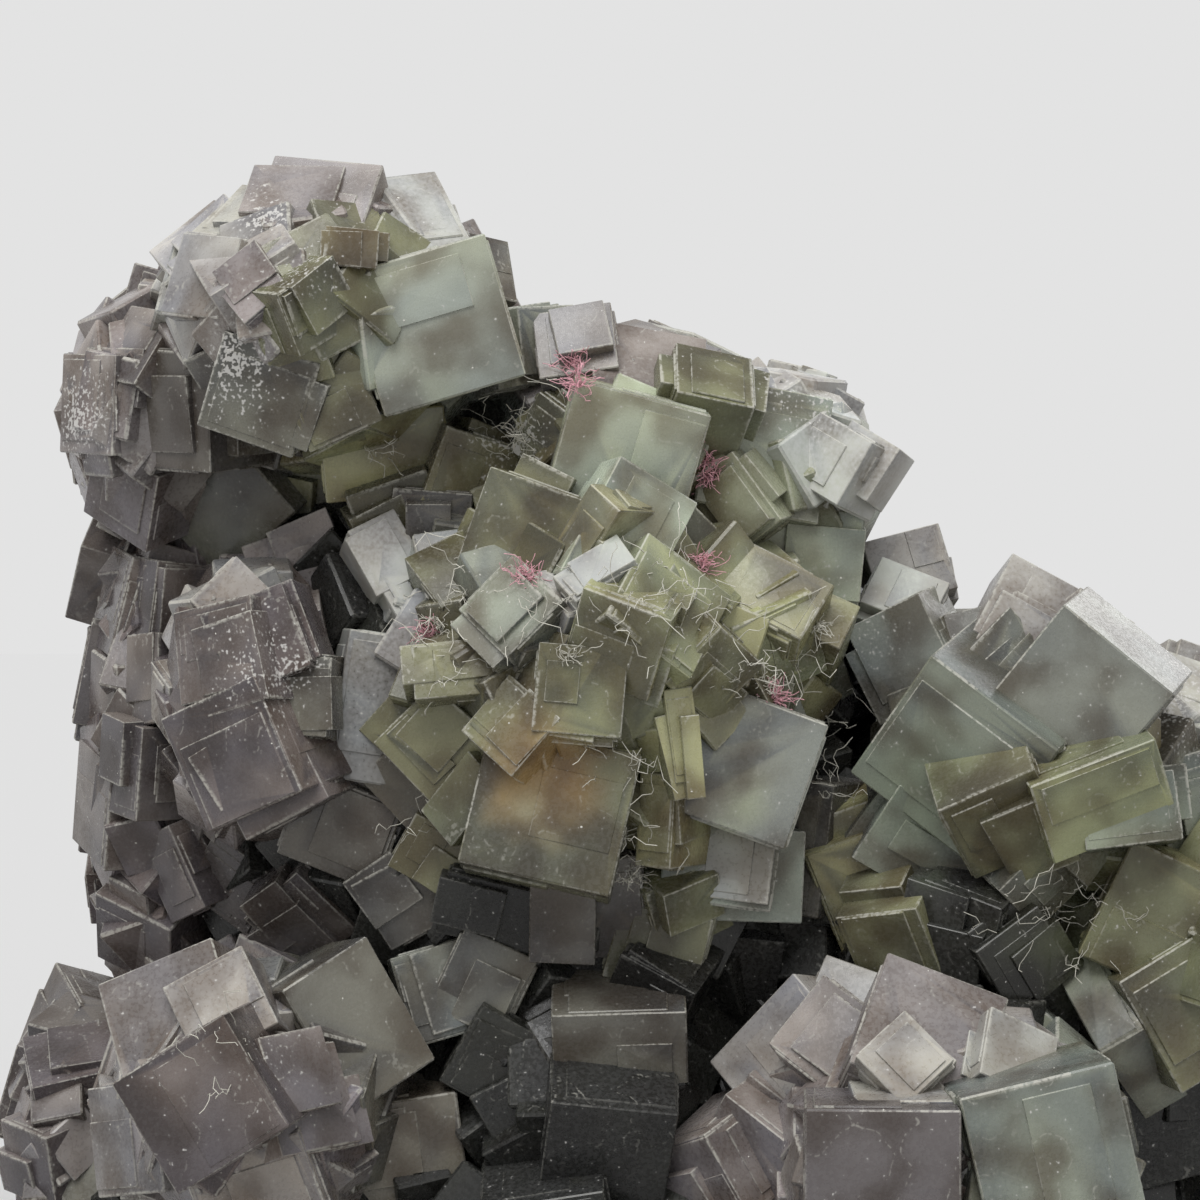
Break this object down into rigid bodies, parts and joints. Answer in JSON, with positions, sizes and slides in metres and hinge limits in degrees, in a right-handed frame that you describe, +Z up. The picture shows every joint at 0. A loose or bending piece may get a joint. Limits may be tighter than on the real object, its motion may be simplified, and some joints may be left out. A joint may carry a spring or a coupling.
{
  "type": "fluorite specimen",
  "caption": "Cabinet specimen of intergrown cubic fluorite crystals, grey green with a mauve skin, cut flat underneath so that it stands on a shelf.",
  "frame": {"origin": "on the flat cut underside, under the middle of the mass as the picture shows it", "axes": "+X to the right along the front as pictured, +Y away from the viewer, +Z up, square to the cut underside"},
  "size_m": [0.1562, 0.099, 0.1118],
  "materials": {
    "fluorite": "glassy, cloudy, partly see-through"
  },
  "bodies": {
    "root": {"crystal_cluster": "fluorite"}
  },
  "joints": []
}
